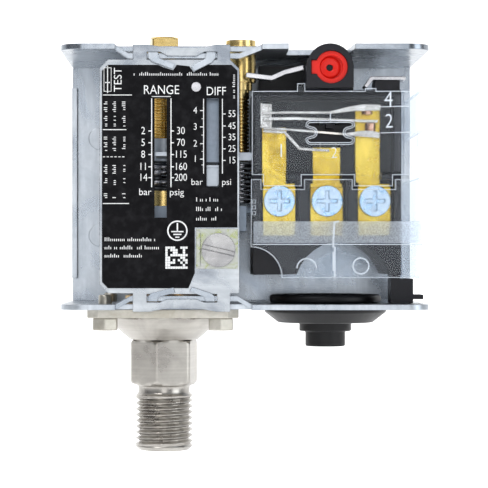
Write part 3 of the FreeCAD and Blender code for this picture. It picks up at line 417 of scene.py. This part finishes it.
def surface_of(profile, columns=96, thread=None, prism=None, closed=False):
    """Turn (radius, height, kind) points about Z; kind marks the stretch that follows a point.

    A "thread" stretch dips to the root along a helix, thread = (root, pitch, run_out).
    A "prism" stretch has flats, prism = (sides, across_flats, angle, corner_radius, chamfer).
    """
    rows = []
    stretches = list(zip(profile, profile[1:] + ([profile[0]] if closed else [])))
    for (radius, height, kind), (next_radius, next_height, _) in stretches:
        steps = 1
        if kind == "thread":
            steps = int((next_height - height) / thread[1] * 10)
        if kind == "prism":
            steps = 28
        for step in range(steps):
            share = step / steps
            row_height = height + (next_height - height) * share
            rows.append((radius + (next_radius - radius) * share, row_height, kind, height, next_height))
    if not closed:
        rows.append((*profile[-1][:2], None, 0, 0))
    whole = bmesh.new()
    rings = []
    for radius, height, kind, low, high in rows:
        ring = []
        for column in range(columns):
            turn = column / columns
            r = radius
            if kind == "thread":
                root, pitch, run_out = thread
                wave = min(1.0, max(0.0, abs((height / pitch - turn) % 1.0 - 0.5) * 2.9 - 0.22))
                fade = max(0.0, min(1.0, (height - low) / run_out, (high - height) / run_out))
                r = radius - (radius - root) * wave * fade
            if kind == "prism":
                sides, flats, angle, corner, chamfer = prism
                off = (turn * 360 - angle) % (360 / sides) - 180 / sides
                r = flats / 2 / math.cos(math.radians(off))
                edge = min(height - low, high - height)
                r = min(r, corner, radius + edge * chamfer)
            angle_here = 2 * math.pi * turn
            spot = Vector((r * math.cos(angle_here), r * math.sin(angle_here), height)) * MM
            ring.append(whole.verts.new(spot))
        rings.append(ring)
    pairs = list(zip(rings, rings[1:] + ([rings[0]] if closed else [])))
    for lower, upper in pairs:
        for column in range(columns):
            other = (column + 1) % columns
            whole.faces.new((lower[column], lower[other], upper[other], upper[column]))
    if not closed:
        whole.faces.new(rings[0][::-1])
        whole.faces.new(rings[-1])
    bmesh.ops.recalc_face_normals(whole, faces=whole.faces)
    result = bpy.data.meshes.new("turned")
    whole.to_mesh(result)
    whole.free()
    return result


def crease_by_angle(mesh, degrees):
    """Smooth shading, with the edges sharper than the angle kept sharp."""
    whole = bmesh.new()
    whole.from_mesh(mesh)
    for edge in whole.edges:
        if len(edge.link_faces) == 2 and edge.calc_face_angle() > math.radians(degrees):
            edge.smooth = False
    whole.to_mesh(mesh)
    whole.free()
    for polygon in mesh.polygons:
        polygon.use_smooth = True


def softened(node, width, body, material, segments=2):
    """The shape of one solid with really rounded edges, standing in for its node."""
    whole = bmesh.new()
    whole.from_mesh(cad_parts[node].data)
    bmesh.ops.remove_doubles(whole, verts=whole.verts, dist=2e-6)
    straight = math.radians(2)
    bmesh.ops.dissolve_limit(whole, angle_limit=straight, verts=whole.verts, edges=whole.edges)
    for face in whole.faces:
        face.smooth = True
    mesh = bpy.data.meshes.new(node + "_soft")
    whole.to_mesh(mesh)
    whole.free()
    piece = bpy.data.objects.new(node + "_soft", mesh)
    bpy.context.scene.collection.objects.link(piece)
    rounding = piece.modifiers.new("rounding", "BEVEL")
    rounding.width = width * MM
    rounding.segments = segments
    rounding.limit_method = "ANGLE"
    rounding.angle_limit = math.radians(32)
    rounding.use_clamp_overlap = True
    # the broad faces keep their own direction, so only the rounded edges shade as curves
    flat = piece.modifiers.new("flat_faces", "WEIGHTED_NORMAL")
    flat.mode = "FACE_AREA"
    flat.weight = 100
    evaluated = piece.evaluated_get(bpy.context.evaluated_depsgraph_get())
    rounded = bpy.data.meshes.new_from_object(evaluated)
    bpy.data.objects.remove(piece)
    result = mesh_object(node + "_rounded", rounded, [material], body)
    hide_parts(node)


def clear_copy(node, body, face, edge):
    """A clear moulding whose narrow cut edges get a milkier finish than its faces, a painted highlight for
    the light they catch.
    """
    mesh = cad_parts[node].data.copy()
    mesh.materials.clear()
    piece = mesh_object(node + "_clear", mesh, [face, edge], body)
    for polygon in mesh.polygons:
        corners = [mesh.vertices[index].co for index in polygon.vertices]
        spans = sorted(max(c[axis] for c in corners) - min(c[axis] for c in corners) for axis in range(3))
        narrow = spans[1] < 1.3 * MM
        polygon.material_index = 1 if narrow and abs(polygon.normal.y) < 0.6 else 0
    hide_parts(node)


# ---------------------------------------------------------------- finishes of the solids

finishes = {
    zinc: ["chassis"],
    zinc_plate: ["front_plate"],
    label_face: ["scale_label"],
    bright: ["label_pin", "boss_strap", "latch_strip", "thrust_rod"],
    earth_metal: ["earth_clamp_plate"],
    screw_head: ["earth_screw"],
    dull_plate: ["bellows_flange", "flange_screws"],
    stainless: ["bellows_bowl", "pressure_connector", "bellows_ring"],
    bronze: ["bellows"],
    brass: ["range_spindle", "diff_spindle", "spring_cup"],
    nut_metal: ["range_nut", "diff_nut"],
    spring_metal: ["main_spring", "diff_spring"],
    arm_metal: ["main_arm", "arm_pivot", "transfer_rod", "pointer_guide"],
    black_plastic: ["switch_housing", "calibration_boss", "latch_block", "tumbler"],
    terminal_metal: ["terminal_1", "terminal_2", "terminal_4", "terminal_clamps"],
    screw_metal: ["terminal_screws"],
    silver: ["contact_strip_upper", "contact_blade", "contact_finger_lower", "bent_strip", "blade_bracket"],
    copper: ["contact_button_upper", "contact_button_lower"],
    clear: ["contact_cover", "terminal_cover"],
    red_plastic: ["calibration_seal"],
    dark_rubber: ["cable_grommet"],
}
for material, nodes in finishes.items():
    for node in nodes:
        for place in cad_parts[node].material_slots:
            place.material = material

softened("chassis", 0.30, "frame", zinc)
softened("front_plate", 0.20, "frame", zinc_plate)
softened("bellows_flange", 0.45, "frame", dull_plate)
softened("flange_screws", 0.30, "frame", dull_plate)
softened("terminal_screws", 0.35, "frame", screw_metal, 3)
softened("terminal_clamps", 0.18, "frame", terminal_metal)
softened("terminal_1", 0.22, "frame", terminal_metal)
softened("terminal_2", 0.22, "frame", terminal_metal)
softened("terminal_4", 0.22, "frame", terminal_metal)
softened("calibration_boss", 0.35, "frame", black_plastic, 3)
softened("calibration_seal", 0.30, "frame", red_plastic, 3)
softened("boss_strap", 0.15, "frame", bright)
softened("latch_strip", 0.15, "frame", bright)
softened("cable_grommet", 0.50, "frame", dark_rubber, 3)
clear_copy("contact_cover", "frame", clear, painted_edge_highlight)
clear_copy("terminal_cover", "shield", clear, painted_edge_highlight)

# ---------------------------------------------------------------- threaded pieces

connector_profile = [
    (2.0, 26.8, None),
    (2.0, 0.5, None),
    (2.5, 0.0, None),
    (5.75, 0.0, None),
    (6.5785, 0.85, "thread"),
    (6.5785, 12.6, None),
    (6.1, 13.0, None),
    (5.9, 13.4, None),
    (6.0, 14.7, None),
    (6.4, 15.1, None),
    (7.05, 15.1, "prism"),
    (7.05, 25.5, None),
    (5.0, 25.5, None),
    (5.0, 26.8, None),
]
connector_mesh = surface_of(
    connector_profile,
    144,
    thread=(5.722, 1.337, 1.1),
    prism=(6, 14.0, 17.5, 7.95, 1.75),
    closed=True,
)
crease_by_angle(connector_mesh, 34)
connector = mesh_object("connector_threaded", connector_mesh, [stainless], "frame")
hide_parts("pressure_connector")

spindle_profile = [
    (2.3, 68.0, None),
    (3.0, 68.7, "thread"),
    (3.0, 87.0, None),
    (3.0, 87.4, None),
    (4.6, 87.4, None),
    (4.6, 90.2, None),
    (3.0, 90.2, None),
    (3.0, 91.7, None),
    (3.9, 91.7, "prism"),
    (3.3, 95.2, None),
]
spindle_mesh = surface_of(
    spindle_profile,
    72,
    thread=(2.5, 0.8, 0.8),
    prism=(4, 6.0, 52.0, 4.1, 1.6),
)
crease_by_angle(spindle_mesh, 34)
spindle = mesh_object("range_spindle_threaded", spindle_mesh, [brass], "range_screw")
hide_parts("range_spindle")

# ---------------------------------------------------------------- springs, with closed and ground ends


def spring_mesh(radius, wire, low, high, turns, across=0.0, depth=0.0):
    """A coil of round wire; the last three quarters of a turn at each end lie flat."""
    whole = bmesh.new()
    per_turn = 40
    section = 12
    total = turns * per_turn
    rings = []
    rise = 0.0
    heights = []
    for step in range(total + 1):
        heights.append(rise)
        share = min(step, total - step) / per_turn
        rise += min(1.0, max(0.22, (share - 0.5) * 1.6))
    scale = (high - low - 2 * wire) / heights[-1]
    for step, height in enumerate(heights):
        angle = 2 * math.pi * step / per_turn
        centre = Vector((math.cos(angle) * radius, math.sin(angle) * radius, low + wire + height * scale))
        outward = Vector((math.cos(angle), math.sin(angle), 0))
        ring = []
        for corner in range(section):
            turn = 2 * math.pi * corner / section
            point = centre + outward * math.cos(turn) * wire + Vector((0, 0, 1)) * math.sin(turn) * wire
            point.z = min(max(point.z, low + 0.12), high - 0.12)
            ring.append(whole.verts.new(((point.x + across) * MM, (point.y + depth) * MM, point.z * MM)))
        rings.append(ring)
    for first, second in zip(rings, rings[1:]):
        for corner in range(section):
            other = (corner + 1) % section
            whole.faces.new((first[corner], first[other], second[other], second[corner]))
    whole.faces.new(rings[0])
    whole.faces.new(rings[-1][::-1])
    bmesh.ops.recalc_face_normals(whole, faces=whole.faces)
    result = bpy.data.meshes.new("spring")
    whole.to_mesh(result)
    whole.free()
    return result


def spring(name, node, mesh):
    """A smooth-shaded coil that stands in for the spring's node; it is not tied to the frame or the nut."""
    crease_by_angle(mesh, 60)
    piece = bpy.data.objects.new(name, mesh)
    bpy.context.scene.collection.objects.link(piece)
    mesh.materials.append(spring_metal)
    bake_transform(piece)
    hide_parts(node)


main_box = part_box("main_spring")
main_low, main_high = main_box[0].z / MM, main_box[1].z / MM
spring(
    "main_spring_coil",
    "main_spring",
    spring_mesh(5.2, 0.72, main_low, main_high, 7),
)
second_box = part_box("diff_spring")
second_low, second_high = second_box[0].z / MM, second_box[1].z / MM
spring(
    "diff_spring_coil",
    "diff_spring",
    spring_mesh(2.28, 0.27, second_low, second_high, 10, DIFF_ACROSS, DIFF_DEPTH),
)

# ---------------------------------------------------------------- print on the scale label

ink_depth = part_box("scale_label")[0].y / MM - 0.012
ink = []
print_seed = random.Random(7)


def words(text, across, height, cap, turn=0.0, bold=-0.012, squeeze=1.0):
    ink.append(text_mesh(text, across, height, cap * 1.42, ink_depth, 0.02, turn, bold, squeeze))


def rule(start, end, width=0.22):
    ink.append(cutout_mesh([stroke(start, end, width)], ink_depth - INK_HALF, ink_depth + INK_HALF))


def bars(start, end, tall):
    """A row of short plain strokes that holds the place of a line of small print."""
    a = Vector(start)
    b = Vector(end)
    along = (b - a).normalized()
    side = Vector((-along.y, along.x))
    length = (b - a).length
    travelled = 0.0
    while travelled < length - 0.3:
        if print_seed.random() > 0.16:
            reach = tall * print_seed.choice((0.62, 0.62, 1.0))
            foot = a + along * travelled - side * tall / 2
            rule(foot, foot + side * reach, 0.17)
        travelled += 0.42


def outline(loop, width=0.2):
    ink.append(cutout_mesh(outline_bead(loop, width), ink_depth - INK_HALF, ink_depth + INK_HALF))


words("RANGE", -0.2, 81.3, 2.0, squeeze=0.86)
words("DIFF", 11.9, 81.0, 1.9, squeeze=0.86)

# range scale
range_left, range_right = -2.32, 1.94
for across in (range_left, range_right):
    rule((across, 79.5), (across, 59.9))
for number, height in ((2, 72.3), (5, 69.7), (8, 67.1), (11, 64.4), (14, 62.0)):
    words(str(number), -4.2, height, 1.64, squeeze=0.85)
    rule((-3.05, height), (range_left, height))
for number, height in ((30, 72.3), (70, 69.7), (115, 67.1), (160, 64.4), (200, 62.0)):
    words(str(number), 4.1, height, 1.64, squeeze=0.82)
    rule((range_right, height), (2.6, height))
words("bar", -3.8, 58.8, 1.5)
words("psig", 3.2, 58.75, 1.5)
rule((-2.3, 79.9), (1.9, 79.9), 0.14)

# differential scale
diff_left, diff_right = 9.13, 13.28
for across in (diff_left, diff_right):
    rule((across, 79.4), (across, 62.9), 0.18)
for number, height in ((4, 76.8), (3, 73.2), (2, 69.5), (1, 66.1)):
    words(str(number), 7.3, height, 1.5, squeeze=0.85)
    rule((8.35, height), (diff_left, height), 0.18)
for height in (75.0, 71.4, 67.8, 64.8):
    rule((8.7, height), (diff_left, height), 0.14)
for number, height in ((55, 76.05), (45, 73.4), (35, 70.9), (25, 68.35), (15, 65.8)):
    words(str(number), 15.4, height, 1.5, squeeze=0.82)
    rule((diff_right, height), (14.0, height), 0.18)
words("bar", 7.65, 61.0, 1.4)
words("psi", 14.2, 61.0, 1.4)

# upright word, its double-headed arrow and the rules of the rating column
words("TEST", -9.7, 83.6, 1.75, turn=90, squeeze=1.0)
arrow = [(-12.9, 81.0), (-12.9, 86.3), (-11.2, 86.3), (-11.2, 81.0)]
outline(arrow[::-1], 0.16)
rule((-12.05, 80.7), (-12.05, 86.7), 0.2)
rule((-12.6, 83.0), (-11.5, 83.0), 0.2)
for start, end, height in ((-13.1, -6.7, 80.24), (-13.1, -7.9, 72.6), (-13.1, -7.3, 56.3)):
    rule((start, height), (end, height), 0.18)
for step in range(6):
    rule((-13.1 + step * 0.85, 66.6), (-12.6 + step * 0.85, 66.6), 0.16)
# plain bars hold the places of the rating rows
for across in (-12.5, -10.6, -8.5):
    for low, high in ((73.4, 76.0), (76.6, 79.4), (68.0, 71.6), (57.6, 59.0), (60.5, 62.2), (63.0, 65.0)):
        bars((across, low), (across, high), 0.75)
bars((-6.2, 84.9), (13.2, 84.9), 0.75)
for index, width in enumerate((5.6, 6.4, 4.8)):
    bars((7.6, 57.2 - index * 2.1), (7.6 + width, 57.2 - index * 2.1), 0.9)
for index, width in enumerate((11.4, 12.4, 8.6)):
    bars((-12.6, 48.4 - index * 1.8), (-12.6 + width, 48.4 - index * 1.8), 0.8)
bars((15.75, 79.6), (15.75, 85.0), 0.6)

# earth symbol in its ring
earth_across = 3.35
outline(circle(earth_across, 50.3, 2.25), 0.3)
rule((earth_across, 52.0), (earth_across, 50.1), 0.3)
for index, half in enumerate((1.35, 0.9, 0.45)):
    height = 50.1 - index * 0.62
    rule((earth_across - half, height), (earth_across + half, height), 0.26)

# a plain seeded checker in place of the coded square
seed = random.Random(36)
cell, gap = 0.5, 0.05
for row in range(9):
    for column in range(9):
        if seed.random() < 0.52 or row == 0 or column == 0:
            low = 41.9 + row * (cell + gap)
            left = 0.7 + column * (cell + gap)
            square = box_loop(left, left + cell, low, low + cell)
            ink.append(cutout_mesh([square], ink_depth - INK_HALF, ink_depth + INK_HALF))

mesh_object("label_print", merged(ink), [white_ink], "frame")

# ---------------------------------------------------------------- numbers on the contact cover, filled with the milky finish of the painted highlights

mark_depth = -18.06
marks = [
    text_mesh("4", 50.3, 79.5, 4.9, mark_depth, 0.05, 0.0, -0.03, 0.85),
    text_mesh("2", 50.4, 74.6, 4.5, mark_depth, 0.05, 0.0, -0.03, 0.85),
    text_mesh("1", 26.4, 68.0, 4.4, mark_depth, 0.05, 0.0, -0.06, 0.85),
    text_mesh("2", 38.2, 67.6, 3.6, mark_depth, 0.05, 0.0, -0.06, 0.85),
]
mesh_object("cover_marks", merged(marks), [painted_rim_highlight], "frame")

# ---------------------------------------------------------------- bright edges of the contact cover, painted highlights in a milky finish

cover_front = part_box("contact_cover")[0].y / MM


def raised(loops, front, height, bevel=0.0):
    """Lines that stand on a clear cover, sunk just under its front so that nothing is coplanar."""
    return cutout_mesh(loops, front - height, front - 0.01, bevel)


bone = (
    arc(33.0, 70.7, 0.8, 180, 270, 4)
    + arc(41.6, 70.7, 0.8, 270, 360, 4)
    + arc(41.4, 72.2, 1.2, 310, 50, 8)[1:-1]
    + arc(41.6, 73.7, 0.8, 0, 90, 4)
    + arc(33.0, 73.7, 0.8, 90, 180, 4)
    + arc(33.2, 72.2, 1.2, 130, -130, 8)[1:-1]
)
wide_bone = outline_bead(bone, -0.42)[1]
cover_outline = (
    [(19.9, 62.8), (22.4, 62.8), (22.4, 60.3), (30.9, 60.3), (30.9, 62.8), (42.7, 62.8), (42.7, 60.3)]
    + [(51.2, 60.3), (51.2, 62.8), (55.5, 62.8), (55.5, 69.0), (56.7, 69.0), (56.7, 72.4), (57.9, 72.4)]
    + [(57.9, 81.4), (47.5, 81.4), (47.5, 82.0), (45.1, 82.0)]
    + [(45.1, 81.4), (31.7, 81.4), (31.7, 83.1), (30.0, 83.1), (30.0, 81.4), (19.9, 81.4)]
)
rims = [
    raised(outline_bead(bone, 0.13), cover_front, 0.16, 0.03),
    raised(outline_bead(wide_bone, 0.13), cover_front, 0.16, 0.03),
    raised([stroke((37.35, 74.6), (37.35, 76.4), 0.16)], cover_front, 0.16),
    raised(outline_bead(cover_outline, 0.16), cover_front, 0.14),
    raised([stroke((48.5, 77.9), (55.4, 78.1), 0.16)], cover_front, 0.14),
    raised([stroke((48.5, 72.1), (55.4, 72.3), 0.16)], cover_front, 0.14),
]
mesh_object("cover_rims", merged(rims), [painted_rim_highlight], "frame")

# ---------------------------------------------------------------- inner disc of the red seal

seal_profile = [(0.75, 0.0, None), (2.5, 0.0, None), (2.5, 0.7, None), (2.1, 1.15, None), (1.9, 0.85, None)]
seal_profile += [(1.2, 0.8, None), (0.75, 0.6, None)]
seal_mesh = surface_of(seal_profile, 48, closed=True)
seal_mesh.transform(Matrix.Rotation(math.radians(90), 4, "X"))
seal_mesh.transform(Matrix.Translation((37.1 * MM, -18.7 * MM, 86.5 * MM)))
crease_by_angle(seal_mesh, 40)
mesh_object("seal_core", seal_mesh, [red_plastic], "frame")

# ---------------------------------------------------------------- band and lines of the pull-off cover; the lines are painted highlights in a milky finish

shield_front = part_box("terminal_cover")[0].y / MM
band = raised([box_loop(20.2, 57.4, 47.6, 52.4, 0.3)], shield_front, 0.12, 0.03)
mesh_object("shield_band", band, [frosted], "shield")
shield_outline = (
    [(26.5, 39.9), (57.9, 39.9), (57.9, 62.1), (55.3, 62.1), (55.3, 61.7), (51.7, 61.7), (51.7, 59.5)]
    + [(42.1, 59.5), (42.1, 61.7), (31.5, 61.7), (31.5, 59.5), (21.9, 59.5), (21.9, 61.7), (19.7, 61.7)]
    + arc(19.6, 39.8, 6.9, 90, 0, 10)[:-1]
)
rib_face = [(37.5, 40.2), (38.0, 40.2), (38.0, 41.4), (37.7, 41.4), (37.7, 45.6), (38.0, 45.6)]
rib_face += [(38.0, 46.6), (37.6, 46.6), (37.9, 52.4), (39.2, 52.6), (39.2, 52.2), (38.3, 51.9)]
rib_face += [(38.1, 46.8), (38.4, 46.8), (38.4, 41.2), (38.4, 39.95), (37.5, 39.95)]
# the bead lines paint the highlights of the cover's edges and ribs
beads = [
    raised(outline_bead(circle(44.0, 42.5, 1.9), 0.3), shield_front, 0.15),
    raised([arc(32.0, 42.0, 2.3, 0, 180, 20) + arc(32.0, 42.0, 2.0, 180, 0, 20)], shield_front, 0.15),
    raised(outline_bead(shield_outline, 0.16), shield_front, 0.14),
    raised([stroke((19.9, 47.3), (57.6, 47.3), 0.2)], shield_front, 0.15),
    raised([rib_face], shield_front, 0.18, 0.03),
]
for height in (54.2, 55.5, 56.8):
    square = box_loop(19.9, 20.7, height - 0.4, height + 0.4)
    beads.append(raised(outline_bead(square, 0.15), shield_front, 0.12))
mesh_object("shield_beads", merged(beads), [painted_edge_highlight], "shield")

# ---------------------------------------------------------------- camera, light and stage

camera_data = bpy.data.cameras.new("camera")
camera_data.lens = 145.2
camera_data.sensor_width = 36
camera_data.shift_x = 0.082
camera_data.shift_y = 0.0266
camera_data.clip_start = 0.01
camera = bpy.data.objects.new("camera", camera_data)
bpy.context.scene.collection.objects.link(camera)
camera.location = (9.22 * MM, -456 * MM, 44.5 * MM)
camera.rotation_euler = (math.radians(90), 0, 0)
bpy.context.scene.camera = camera


def area_light(name, place, target, size, watts, tint=(1, 1, 1)):
    data = bpy.data.lights.new(name, "AREA")
    data.energy = watts
    data.color = tint
    data.size = size
    lamp = bpy.data.objects.new(name, data)
    bpy.context.scene.collection.objects.link(lamp)
    lamp.location = place
    direction = Vector(target) - Vector(place)
    lamp.rotation_euler = direction.to_track_quat("-Z", "Y").to_euler()


middle = (0.02, 0, 0.05)
area_light("key", (-0.30, -0.50, 0.60), middle, 0.35, 2.6, (1.0, 0.99, 0.97))
area_light("fill", (0.60, -0.40, 0.20), middle, 0.40, 1.5, (0.94, 0.98, 1.0))
area_light("top", (0.08, 0.02, 0.70), middle, 0.45, 0.7, (0.96, 0.98, 1.0))
area_light("front", (0.02, -0.80, 0.15), middle, 0.30, 0.6)
area_light("backdrop", (0.0, 0.30, 0.85), (0.0, 0.62, 0.10), 0.9, 3.0)

world = bpy.data.worlds.new("studio")
world.use_nodes = True
sky = world.node_tree
direction = sky.nodes.new("ShaderNodeTexCoord")
split = sky.nodes.new("ShaderNodeSeparateXYZ")
sky.links.new(direction.outputs["Generated"], split.inputs["Vector"])
heights = sky.nodes.new("ShaderNodeValToRGB")
heights.color_ramp.elements[0].position = 0.35
heights.color_ramp.elements[0].color = (0.22, 0.24, 0.27, 1.0)
heights.color_ramp.elements[1].position = 0.72
heights.color_ramp.elements[1].color = (0.95, 0.97, 1.0, 1.0)
lift = sky.nodes.new("ShaderNodeMapRange")
lift.inputs["From Min"].default_value = -1.0
sky.links.new(split.outputs["Z"], lift.inputs["Value"])
sky.links.new(lift.outputs["Result"], heights.inputs["Fac"])
sky.links.new(heights.outputs["Color"], sky.nodes["Background"].inputs["Color"])
sky.nodes["Background"].inputs["Strength"].default_value = 0.38
bpy.context.scene.world = world
bpy.context.scene.view_settings.view_transform = "Standard"

# a pale floor that curves up into the backdrop
sweep = [(-FLOOR_REACH, FLOOR_HEIGHT), (SWEEP_START, FLOOR_HEIGHT)]
for step in range(1, 13):
    angle = math.radians(90 * step / 12)
    rise = SWEEP_RADIUS * (1 - math.cos(angle))
    sweep.append((SWEEP_START + SWEEP_RADIUS * math.sin(angle), FLOOR_HEIGHT + rise))
sweep.append((SWEEP_START + SWEEP_RADIUS, 1.4))
floor_mesh = bpy.data.meshes.new("floor")
floor_points = []
floor_faces = []
for index, (depth, height) in enumerate(sweep):
    floor_points += [(-FLOOR_REACH, depth, height), (FLOOR_REACH, depth, height)]
    if index:
        floor_faces.append((2 * index - 2, 2 * index - 1, 2 * index + 1, 2 * index))
floor_mesh.from_pydata(floor_points, [], floor_faces)
for polygon in floor_mesh.polygons:
    polygon.use_smooth = True
floor = bpy.data.objects.new("floor", floor_mesh)
bpy.context.scene.collection.objects.link(floor)
white = (1.0, 1.0, 1.0, 1.0)
paper = Shader("paper", (0.93, 0.93, 0.93), 0.0, 0.9, Emission_Color=white, Emission_Strength=0.42)
floor.data.materials.append(paper.done())
